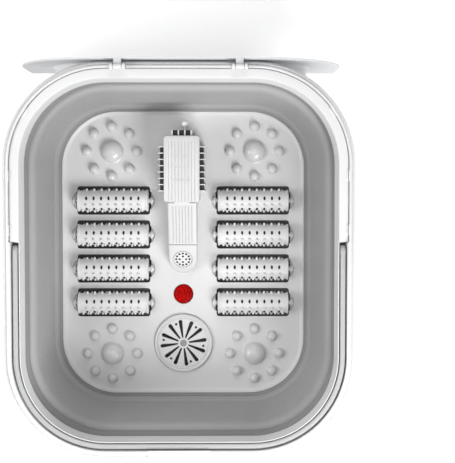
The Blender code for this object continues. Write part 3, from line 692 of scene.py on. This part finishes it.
def make_button(mats, name):
    """A round button with a dished top, on a flange behind the panel, and its mark."""
    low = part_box(f"{name}_button")[0]
    spot = centre(f"{name}_button")
    turn = move((spot.x, low.y + 0.0012, spot.z)) @ TO_FRONT
    profile = [
        (0.0050, -0.0047), (0.0050, -0.0037), (0.0042, -0.0037), (0.0042, 0.0006), (0.0038, 0.0011),
        (0.0033, 0.0012), (0.0024, 0.0007), (0.0010, 0.0005),
    ]
    button = make_object(f"{name}_button_cap", turned(profile, 40, turn), mats["white"])
    place(button, f"{name}_button", "white_plastic", f"{name}_button")
    mark = turned([(0.0014, 0.0004), (0.0014, 0.0008), (0.0011, 0.0009)], 24, turn)
    colour = mats["display"] if name in ("power", "heat") else mats["boss"]
    place(make_object(f"{name}_button_mark", mark, colour), f"{name}_button", "red_lens")


# ---- Floor ----

# The trough under each roller, and the round wells at its ends
POCKET_X, POCKET_Y, POCKET_Z, POCKET_CORNER = 0.0430, 0.0168, 0.0408, 0.0030
WELL_X, WELL_R, WELL_Z = 0.0365, 0.0125, 0.0472
# Heights between which the floor's openings are cut
CUT_LOW, CUT_HIGH = 0.040, 0.060
LENS_HOLE_R, CUP_HOLE_R, LID_RECESS_R = 0.0118, 0.0303, 0.0352
# Nubs: places of the large ones, and the circle of small ones round each
NUB_X, NUB_Y, NUB_RING_R, NUB_COUNT = 0.0843, 0.1200, 0.0293, 8


def rollers():
    """Centre of each roller, by number."""
    return {number: centre(f"roller_{number}") for number in range(1, 9)}


def make_floor(mats):
    """The floor with its raised edge and its openings."""
    edge = [
        (FLOOR_R + 0.0020, SHELL_TOP + 0.0003), (FLOOR_R + 0.0020, 0.0475), (FLOOR_R, 0.0475),
        (FLOOR_R, 0.0526), (FLOOR_R - 0.0006, 0.0530), (FLOOR_R - 0.0014, 0.0528),
        (FLOOR_R - 0.0026, 0.0508), (FLOOR_R - 0.0040, 0.0501), (FLOOR_R - 0.0060, FLOOR_Z),
    ]
    sections = [[(x, y, z) for x, y in outline(offset)] for offset, z in edge]
    floor = make_object("tub_floor", loft(sections), mats["floor"])
    holes = bmesh.new()
    plan = round_rectangle(POCKET_X, POCKET_Y, POCKET_CORNER)
    for spot in rollers().values():
        loft([[(spot.x + x, spot.y + y, z) for x, y in plan] for z in (CUT_LOW, CUT_HIGH)], holes)
        for side in (-1, 1):
            well = move((spot.x + side * WELL_X, spot.y, 0))
            turned([(WELL_R, CUT_LOW), (WELL_R, CUT_HIGH)], 28, well, holes)
    for node, radius in (("light_lens", LENS_HOLE_R), ("herb_cup", CUP_HOLE_R)):
        turned([(radius, CUT_LOW), (radius, CUT_HIGH)], 48, above(centre(node)), holes)
    recess = [(LID_RECESS_R, FLOOR_Z - 0.0012), (LID_RECESS_R, CUT_HIGH)]
    turned(recess, 64, above(centre("herb_lid")), holes)
    cut(floor, holes)
    place(floor, "base", "grey_plastic", "floor_tray")


def well_plan():
    """Plan of a well's bottom: part of a circle, cut off straight where the trough begins."""
    points = arc(WELL_R + 0.0004, -59, 59, 16, (WELL_X, 0))
    straight_x = POCKET_X + 0.0013
    return [(straight_x, points[0][1]), *points, (straight_x, points[-1][1])]


def make_pockets(mats):
    """The trough under each roller, dark grey as painted shade round the roller, and the bottoms of the wells
    at its ends.
    """
    bm = bmesh.new()
    wall = 0.0012
    inner = round_rectangle(POCKET_X - 0.0001, POCKET_Y - 0.0001, POCKET_CORNER)
    outer = round_rectangle(POCKET_X + wall, POCKET_Y + wall, POCKET_CORNER + wall)
    top = SHELL_TOP + 0.0009
    for spot in rollers().values():
        sections = []
        for plan, z in ((outer, POCKET_Z - wall), (outer, top), (inner, top), (inner, POCKET_Z)):
            sections.append([(spot.x + x, spot.y + y, z) for x, y in plan])
        loft(sections, bm)
    # The troughs' walls are painted dark grey for the shade round the rollers.
    place(make_object("roller_pockets", bm, mats["pocket"]), "base", "grey_plastic")
    wells = bmesh.new()
    points = well_plan()
    for spot in rollers().values():
        for side in (-1, 1):
            levels = (WELL_Z - 0.0004, WELL_Z)
            loft([[(spot.x + side * x, spot.y + y, z) for x, y in points] for z in levels], wells)
    place(make_object("roller_clip_wells", wells, mats["floor"]), "base", "grey_plastic")


def nub_profile(radius, height):
    """A round nub with a soft foot that runs out into the floor."""
    profile = [(radius * 1.16, 0.00002), (radius * 1.06, height * 0.03), (radius * 1.00, height * 0.16)]
    for degrees in range(10, 90, 10):
        angle = radians(degrees)
        profile.append((radius * cos(angle) ** 0.85, height * (0.18 + 0.82 * sin(angle))))
    return profile


def make_nubs(mats):
    """One large nub with eight small ones round it in each corner of the floor."""
    bm = bmesh.new()
    for sx in (-1, 1):
        for sy in (-1, 1):
            middle = Vector((sx * NUB_X, sy * NUB_Y, FLOOR_Z))
            turned(nub_profile(0.0124, 0.0100), 40, move(middle), bm)
            for number in range(NUB_COUNT):
                turn = tau * number / NUB_COUNT
                spot = middle + Vector((NUB_RING_R * cos(turn), NUB_RING_R * sin(turn), 0))
                turned(nub_profile(0.0058, 0.0072), 28, move(spot), bm)
    place(make_object("massage_nubs", bm, mats["nub"], 60), "base", "grey_plastic")


def make_roller_clips(mats):
    """Two upright clips for the pins of each roller."""
    bm = bmesh.new()
    half, pin_r = 0.0044, 0.0028
    for spot in rollers().values():
        points = [(-half, WELL_Z - 0.0002), (half, WELL_Z - 0.0002), *arc(half, 0, 180, 14, (0, spot.z))]
        for side in (-1, 1):
            x = spot.x + side * (POCKET_X + 0.0024)
            loft([[(x + dx, spot.y + y, z) for y, z in points] for dx in (-0.0014, 0.0014)], bm)
    clips = make_object("roller_clips", bm, mats["floor"])
    holes = bmesh.new()
    for spot in rollers().values():
        turn = move(spot) @ TO_RIGHT
        for ends in ((-0.0500, -0.0436), (0.0436, 0.0500)):
            turned([(pin_r, end) for end in ends], 20, turn, holes)
    cut(clips, holes)
    soften(clips, 0.0004, 2)
    place(clips, "base", "grey_plastic")


# Rows round a roller: angle from the top towards the rear in degrees, what it holds, how many
# The dark rows hold flat near-black ovals: painted shade for the holes between the pins.
ROLLER_ROWS = ((13, "painted_shade", 8), (-24, "pin", 8), (-57, "painted_shade", 8), (-60, "pin", 9), (74, "pin", 8))
ROLLER_PITCH = 0.0087
ROLLER_CORE_R = 0.0118
ROLLER_PIN_TALL = 0.0029


def make_roller_mesh(mats):
    """A roller about X with rows of short pins, rows of flat near-black ovals painted as the shade in its
    holes, and a pin at each end.
    """
    radius, half = ROLLER_CORE_R, 0.0415
    profile = [
        (0.0025, -0.0478), (0.0025, -half - 0.0004), (0.0090, -half - 0.0002), (radius - 0.0002, -half),
        (radius + 0.0010, -half + 0.0006), (radius + 0.0010, -half + 0.0020), (radius, -half + 0.0026),
        (radius, half - 0.0026), (radius + 0.0010, half - 0.0020), (radius + 0.0010, half - 0.0006),
        (radius - 0.0002, half), (0.0090, half + 0.0002), (0.0025, half + 0.0004), (0.0025, 0.0478),
    ]
    bm = turned(profile, 48, TO_RIGHT)
    painted_shade_faces = []
    for half_turn in (0, 180):
        for degrees, kind, count in ROLLER_ROWS:
            round_axis = Matrix.Rotation(radians(-degrees - half_turn), 4, "X")
            for number in range(count):
                turn = round_axis @ move(((number - (count - 1) / 2) * ROLLER_PITCH, 0, 0))
                if kind == "pin":
                    tip = radius + ROLLER_PIN_TALL
                    pin = [(0.0021, radius - 0.0006), (0.0016, radius + 0.0004), (0.0013, tip - 0.0007)]
                    turned([*pin, (0.0010, tip - 0.0002), (0.0004, tip)], 10, turn, bm)
                else:
                    # A flat near-black oval, raised a hair off the roller: painted shade for a shaded hole.
                    before = len(bm.faces)
                    oval = turn @ Matrix.Diagonal((0.75, 1.30, 1.0, 1.0))
                    painted_shade = [(0.0018, radius - 0.0006), (0.0018, radius + 0.0001), (0.0013, radius + 0.0002)]
                    turned(painted_shade, 14, oval, bm)
                    painted_shade_faces += range(before, len(bm.faces))
    bm.faces.ensure_lookup_table()
    # The ovals take the second, near-black material: painted shade.
    for number in painted_shade_faces:
        bm.faces[number].material_index = 1
    return make_object("roller_pattern", bm, [mats["roller"], mats["painted_shade"]], 50)


def make_rollers(mats):
    """The eight rollers, which share one mesh."""
    pattern = make_roller_mesh(mats)
    for number, spot in rollers().items():
        roller = add_object(f"massage_roller_{number}", pattern.data)
        roller.location = spot
        place(roller, f"roller_{number}", "roller_plastic", f"roller_{number}")
    bpy.data.objects.remove(pattern)


def make_light_lens(mats):
    """The round red lens, slightly domed."""
    profile = [(0.0110, 0.0470), (0.0110, 0.0508), (0.0106, 0.0516)]
    for degrees in range(15, 90, 15):
        angle = radians(degrees)
        profile.append((0.0100 * cos(angle), 0.0514 + 0.0014 * sin(angle)))
    lens = turned(profile, 48, above(centre("light_lens")))
    place(make_object("red_light_lens", lens, mats["lens"], 60), "base", "red_lens", "light_lens")


def make_herb_box(mats):
    """The cup's lid: a low disc with a raised edge, drop-shaped slots, small holes and a centre boss."""
    spot = centre("herb_lid")
    here = move((spot.x, spot.y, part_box("herb_lid")[0].z))
    profile = [
        (0.0300, 0.0), (0.0336, 0.0), (0.0342, 0.0006), (0.0342, 0.0024), (0.0337, 0.0036),
        (0.0328, 0.0040), (0.0318, 0.0035), (0.0308, 0.0010), (0.0297, 0.0012), (0.0288, 0.0024),
        (0.0150, 0.0033), (0.0030, 0.0035),
    ]
    lid = make_object("herb_lid_disc", turned(profile, 72, here), mats["grille"], 50)
    holes = bmesh.new()
    low, high = -0.003, 0.008
    slot_x, slot_half = 0.0064, 0.0009
    plan = [(slot_x, -slot_half), *arc(0.0023, -100, 100, 8, (0.0254, 0)), (slot_x, slot_half)]
    for number in range(12):
        turn = here @ Matrix.Rotation(radians(8 + 30 * number), 4, "Z")
        loft([[turn @ Vector((x, y, z)) for x, y in plan] for z in (low, high)], holes)
    hole_r, hole_place = 0.0015, move((0.0238, 0, 0))
    for number in range(6):
        turn = here @ Matrix.Rotation(radians(-8.6 + 60 * number), 4, "Z") @ hole_place
        turned([(hole_r, low), (hole_r, high)], 14, turn, holes)
    cut(lid, holes)
    soften(lid, 0.0002, 2, 50)
    place(lid, "herb_lid", "grey_plastic", "herb_lid")
    boss = [(0.0041, 0.0030), (0.0041, 0.0036), (0.0036, 0.0038), (0.0020, 0.0036), (0.0008, 0.0037)]
    place(make_object("herb_lid_boss", turned(boss, 36, here), mats["boss"]), "herb_lid", "grey_plastic")


# ---- Pump housing and ramp ----

HOUSING_X, HOUSING_FRONT, HOUSING_REAR = 0.0203, 0.0612, 0.1362
HOUSING_LOW, HOUSING_TOP = FLOOR_Z + 0.0003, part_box("pump_housing")[1].z
RAMP_X, RAMP_HIGH, RAMP_LOW, RAMP_END = 0.0167, 0.1020, 0.0600, -0.0233
NOZZLE_Y = -0.0064
# Fins at each side and teeth at the rear: how many, their pitch and half their thickness
FINS, FIN_PITCH, FIN_HALF = 8, 0.0071, 0.0006
TEETH, TOOTH_PITCH, TOOTH_HALF = 4, 0.0072, 0.0008
FIN_OUT = 0.0064
FIN_TOP = HOUSING_TOP - 0.0030


def make_housing(mats):
    """The tall box: rounded corners, ribs along its top, thin fins on both sides and teeth at the rear."""
    middle = (HOUSING_FRONT + HOUSING_REAR) / 2
    half_y = (HOUSING_REAR - HOUSING_FRONT) / 2
    sections = []
    levels = ((0.0016, 0.0), (0.0005, -0.0005), (0.0, -0.0016))
    for z, grow in ((HOUSING_LOW, 0.0), *((HOUSING_TOP - drop, grow) for drop, grow in levels)):
        plan = round_rectangle(HOUSING_X + grow, half_y + grow, 0.0032 + grow, 6)
        sections.append([(x, middle + y, z) for x, y in plan])
    body = make_object("pump_housing_body", loft(sections), mats["housing"])
    grooves = bmesh.new()
    clear_z, groove_pitch, groove_half = 0.13, 0.0037, 0.0005
    for number in range(9):
        x = (number - 4) * groove_pitch
        low_corner = (x - groove_half, HOUSING_FRONT - 0.002, HOUSING_TOP - 0.0007)
        block(low_corner, (x + groove_half, HOUSING_REAR - 0.006, clear_z), grooves)
    for y in (middle - 0.012, middle + 0.002, middle + 0.014):
        block((-0.0090, y - 0.0003, HOUSING_TOP - 0.0006), (0.0090, y + 0.0003, clear_z), grooves)
    cut(body, grooves)
    place(body, "base", "white_plastic", "pump_housing")
    make_fins(mats, middle)


def make_fins(mats, middle):
    """The housing's fins and teeth, and a near-black block between them: the intake slots, darkened as
    painted shade for the shade between the fins.
    """
    fins = bmesh.new()
    root, tip = HOUSING_X - 0.001, HOUSING_X + FIN_OUT
    for number in range(FINS):
        y = middle + (number - (FINS - 1) / 2) * FIN_PITCH
        for low_x, high_x in ((-tip, -root), (root, tip)):
            block((low_x, y - FIN_HALF, HOUSING_LOW), (high_x, y + FIN_HALF, FIN_TOP), fins)
    for number in range(TEETH):
        x = (number - (TEETH - 1) / 2) * TOOTH_PITCH
        corner = (x + TOOTH_HALF, HOUSING_REAR + FIN_OUT, FIN_TOP)
        block((x - TOOTH_HALF, HOUSING_REAR - 0.001, HOUSING_LOW), corner, fins)
    fins = soften(make_object("pump_housing_fins", fins, mats["trim"]), 0.0003, 2)
    place(fins, "base", "white_plastic")
    # The near-black block is partly the intake slots and partly painted shade between the fins.
    gaps = bmesh.new()
    reach_y, gap_top = (FINS - 1) / 2 * FIN_PITCH, FIN_TOP - 0.0015
    root, tip = HOUSING_X - 0.0005, HOUSING_X + 0.0042
    for low_x, high_x in ((-tip, -root), (root, tip)):
        block((low_x, middle - reach_y, HOUSING_LOW), (high_x, middle + reach_y, gap_top), gaps)
    corner = (0.0108, HOUSING_REAR + 0.0060, gap_top)
    block((-0.0108, HOUSING_REAR - 0.0005, HOUSING_LOW), corner, gaps)
    place(make_object("pump_intake_slots_and_painted_shade", gaps, mats["painted_shade"]), "base", "dark_plastic")


def make_probe(mats):
    """The probe's stem and round tip, behind the housing, in a white brightened as painted light."""
    tip_r, stem_r = 0.0040, 0.0012
    low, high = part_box("temperature_probe")
    tip = Vector(((low.x + high.x) / 2, high.y - tip_r, (low.z + high.z) / 2))
    turn = move(tip) @ Matrix.Rotation(radians(-90), 4, "X")
    bm = turned([(stem_r, -0.0178), (stem_r, -0.0030)], 20, turn)
    bmesh.ops.create_uvsphere(bm, u_segments=28, v_segments=18, radius=tip_r, matrix=move(tip))
    probe = make_object("probe_with_round_tip", bm, mats["probe"], 60)
    place(probe, "base", "white_plastic", "temperature_probe")


def ramp_height(y):
    """Height of the duct's sloping top."""
    return RAMP_LOW + (y - RAMP_END) / (HOUSING_FRONT - RAMP_END) * (RAMP_HIGH - RAMP_LOW)


def on_ramp(y):
    """A move to the middle of the duct's top, with +Z square to the slope."""
    slope = atan2(RAMP_HIGH - RAMP_LOW, HOUSING_FRONT - RAMP_END)
    return move((0, y, ramp_height(y))) @ Matrix.Rotation(slope, 4, "X")


def ramp_plan(inset):
    """Plan of the duct, with straight sides and a round front end."""
    half = RAMP_X - inset
    side = [HOUSING_FRONT + 0.0010, 0.030, 0.010]
    front = arc(half, 0, -180, 24, (0, RAMP_END + RAMP_X))[1:-1]
    return [(half, y) for y in side] + front + [(-half, y) for y in reversed(side)]


def make_ramp(mats):
    """The sloping duct: rounded edges, fine ribs on its upper part, a seam and two notches."""
    sections = [[(x, y, HOUSING_LOW) for x, y in ramp_plan(0)]]
    for inset, drop in ((0, 0.0020), (0.0004, 0.0008), (0.0012, 0.0002), (0.0022, 0.0)):
        sections.append([(x, y, ramp_height(y) - drop) for x, y in ramp_plan(inset)])
    ramp = make_object("nozzle_ramp_body", loft(sections), mats["housing"])
    grooves = bmesh.new()
    for number in range(7):
        x = (number - 3) * 0.0036
        block((x - 0.0005, -0.0240, -0.0010), (x + 0.0005, 0.0240, 0.004), grooves, on_ramp(0.0350))
    block((-0.03, -0.0006, -0.0018), (0.03, 0.0006, 0.005), grooves, on_ramp(0.0110))
    high_end = on_ramp(HOUSING_FRONT - 0.0010)
    for side in (-1, 1):
        x = side * 0.0130
        block((x - 0.0045, -0.0008, -0.0024), (x + 0.0045, 0.0008, 0.005), grooves, high_end)
    recess_r = 0.0112
    turned([(recess_r, -0.0014), (recess_r, 0.006)], 48, on_ramp(NOZZLE_Y), grooves)
    cut(ramp, grooves)
    place(ramp, "base", "white_plastic", "nozzle_ramp")


def make_sieve(mats):
    """The round sieve at the duct's low end, with a near-black disc behind its holes as painted shade."""
    here, hole_r = on_ramp(NOZZLE_Y), 0.0014
    sieve = [(0.0106, -0.0011), (0.0106, -0.0001), (0.0101, 0.0005), (0.0093, 0.0003), (0.0030, 0.0004)]
    sieve = make_object("nozzle_sieve_disc", turned(sieve, 48, here), mats["grille"])
    holes = bmesh.new()
    for count, radius in ((12, 0.0078), (4, 0.0038)):
        for number in range(count):
            angle = tau * number / count
            spot = here @ move((radius * cos(angle), radius * sin(angle), 0))
            turned([(hole_r, -0.0006), (hole_r, 0.003)], 14, spot, holes)
    cut(sieve, holes)
    place(sieve, "base", "grey_plastic", "nozzle_sieve")
    # A near-black disc just under the holes: painted shade, seen through them.
    hole_shade_disc = turned([(0.0100, -0.0006), (0.0100, -0.0003)], 36, here)
    place(make_object("nozzle_sieve_painted_shade", hole_shade_disc, mats["painted_shade"]), "base", "dark_plastic")


# ---- Cover ----

# Height of the closed cover's edge, and its (offset, rise) steps up to the flat top
COVER_EDGE_Z = 0.1975
COVER_LEVELS = (
    (0.0995, 0.0), (0.0640, 0.0), (0.0610, 0.0115), (0.0365, 0.0125), (0.0335, 0.0185), (0.0075, 0.0195),
    (0.0045, 0.0255),
)


def cover_section(offset, front, rise):
    """The rear part of an outline, cut off straight at the front, as closed, from the hinge."""
    rear = [(x, y) for x, y in outline(offset) if y > 0]
    points = [(CORE_X + offset, front), (CORE_X + offset, front + 0.030), *rear]
    points += [(-CORE_X - offset, front + 0.030), (-CORE_X - offset, front)]
    return [Vector((x, y, COVER_EDGE_Z + rise)) - COVER_HINGE for x, y in points]


def make_cover(mats):
    """The half cover: a flat edge, then rounded steps up to a flat top. At rest it hangs behind the rim."""
    front, sheet, lean = 0.0440, 0.0018, 0.05
    upper = rounded(COVER_LEVELS, 0.0030, closed=False)
    sections = []
    for number, (offset, rise) in enumerate(reversed(upper)):
        inner_offset = offset - sheet * 0.6 if number < len(upper) - 1 else offset
        sections.append(cover_section(inner_offset, front + 0.0030 + rise * lean, rise))
    for offset, rise in upper:
        edge_y = front + 0.0008 + rise * lean if rise > 0.0 else front
        sections.append(cover_section(offset, edge_y, rise + sheet))
    hang = move(COVER_HINGE) @ TO_FRONT
    placed = [[hang @ point for point in section] for section in sections]
    cover = make_object("half_cover", loft(placed), mats["cover"])
    place(cover, "cover", "clear_cover", "cover")
    bm = bmesh.new()
    knuckle_r, knuckle_half, arm_half = 0.0028, 0.0044, 0.0040
    for side in (-1, 1):
        x = side * COVER_HINGE_X
        turn = hang @ move((x, 0, 0)) @ TO_RIGHT
        turned([(knuckle_r, -knuckle_half), (knuckle_r, knuckle_half)], 28, turn, bm)
        low_corner = (x - arm_half, -0.0080, 0.1985 - COVER_HINGE.z)
        block(low_corner, (x + arm_half, -0.0012, 0.0014), bm, hang)
    knuckles = soften(make_object("cover_knuckles", bm, mats["white"]), 0.0004, 2)
    place(knuckles, "cover", "white_plastic")


# ---- Carried-over nodes ----

def paint_nodes(mats):
    """Gives the remaining nodes of the model their materials."""
    chosen = {
        "bottom_cover": "white", "pump_motor": "metal", "heater": "metal", "circuit_board": "board",
        # The herb cup takes the dark grey painted shade, for the shade seen through the lid's slots.
        "lamp_board": "board", "power_inlet": "panel", "pump_impeller": "boss", "herb_cup": "pocket",
    }
    for number in range(1, 5):
        chosen[f"foot_{number}"] = "rubber"
        chosen[f"base_screw_{number}"] = "metal"
    for side in ("left", "right"):
        chosen[f"handle_pin_{side}"] = "metal"
        chosen[f"cover_pin_{side}"] = "metal"
    for node, mat in chosen.items():
        NODES[node].data.materials.clear()
        NODES[node].data.materials.append(mats[mat])


# ---- Floor, light and camera ----

def make_stage():
    """The pale floor under the object."""
    bm = bmesh.new()
    bmesh.ops.create_grid(bm, x_segments=1, y_segments=1, size=4.0)
    mat = bpy.data.materials.new("studio_floor")
    mat.use_nodes = True
    shader = mat.node_tree.nodes["Principled BSDF"]
    shader.inputs["Base Color"].default_value = (0.88, 0.88, 0.88, 1)
    shader.inputs["Roughness"].default_value = 0.9
    shader.inputs["Emission Color"].default_value = (1, 1, 1, 1)
    shader.inputs["Emission Strength"].default_value = 0.3
    floor = make_object("studio_floor", bm, mat)
    floor.location = (0, 0, -0.0005)


def add_area(name, location, size, power):
    """A round light aimed at the middle of the tub."""
    data = bpy.data.lights.new(name, "AREA")
    data.shape = "DISK"
    data.size = size
    data.energy = power
    light = add_object(name, data)
    light.location = location
    light.rotation_euler = (Vector((0, 0, 0.10)) - light.location).to_track_quat("-Z", "Y").to_euler()


def make_light():
    """A pale surround, darker overhead, and four soft lights."""
    world = bpy.data.worlds.new("studio")
    world.use_nodes = True
    tree = world.node_tree
    split = tree.nodes.new("ShaderNodeSeparateXYZ")
    where = tree.nodes.new("ShaderNodeTexCoord").outputs["Generated"]
    tree.links.new(where, split.inputs["Vector"])
    sky = colour_ramp(tree, split.outputs["Z"], (0.10, (0.85, 0.85, 0.86)), (0.70, (0.17, 0.17, 0.17)))
    background = tree.nodes["Background"].inputs
    tree.links.new(sky, background["Color"])
    background["Strength"].default_value = 1.0
    bpy.context.scene.world = world
    add_area("key_right_front", (0.46, -0.66, 0.86), 0.62, 11.8)
    add_area("fill_left", (-0.70, -0.05, 0.84), 0.55, 4.6)
    add_area("fill_rear", (0.05, 0.82, 0.84), 0.55, 2.4)
    add_area("soft_top", (0.0, -0.05, 1.30), 0.50, 1.9)


def make_camera():
    """A long lens high above the tub, with +Y upwards in the picture."""
    data = bpy.data.cameras.new("camera")
    data.lens = 84.4
    data.sensor_width = 36.0
    data.clip_start = 0.05
    camera = add_object("camera", data)
    camera.location = (0.0390, 0.0830, 1.3370)
    target = Vector((0.0508, 0.0319, 0.2000))
    back = (camera.location - target).normalized()
    right = Vector((0, 1, 0)).cross(back).normalized()
    camera.rotation_euler = Matrix((right, back.cross(right), back)).transposed().to_euler()
    bpy.context.scene.camera = camera


def main():
    """Builds the whole picture."""
    bpy.context.scene.view_settings.view_transform = "Standard"
    mats = make_materials()
    for make in (
        make_rim, make_trim, make_trough_strip, make_catches, make_front_tab, make_hinge_ears, make_handle,
        make_side_panel, make_upper_fold, make_lower_seal, make_base_shell, make_control_panel, make_floor,
        make_pockets, make_nubs, make_roller_clips, make_rollers, make_light_lens, make_herb_box,
        make_housing, make_probe, make_ramp, make_sieve, make_cover, paint_nodes,
    ):
        make(mats)
    make_stage()
    make_light()
    make_camera()


main()
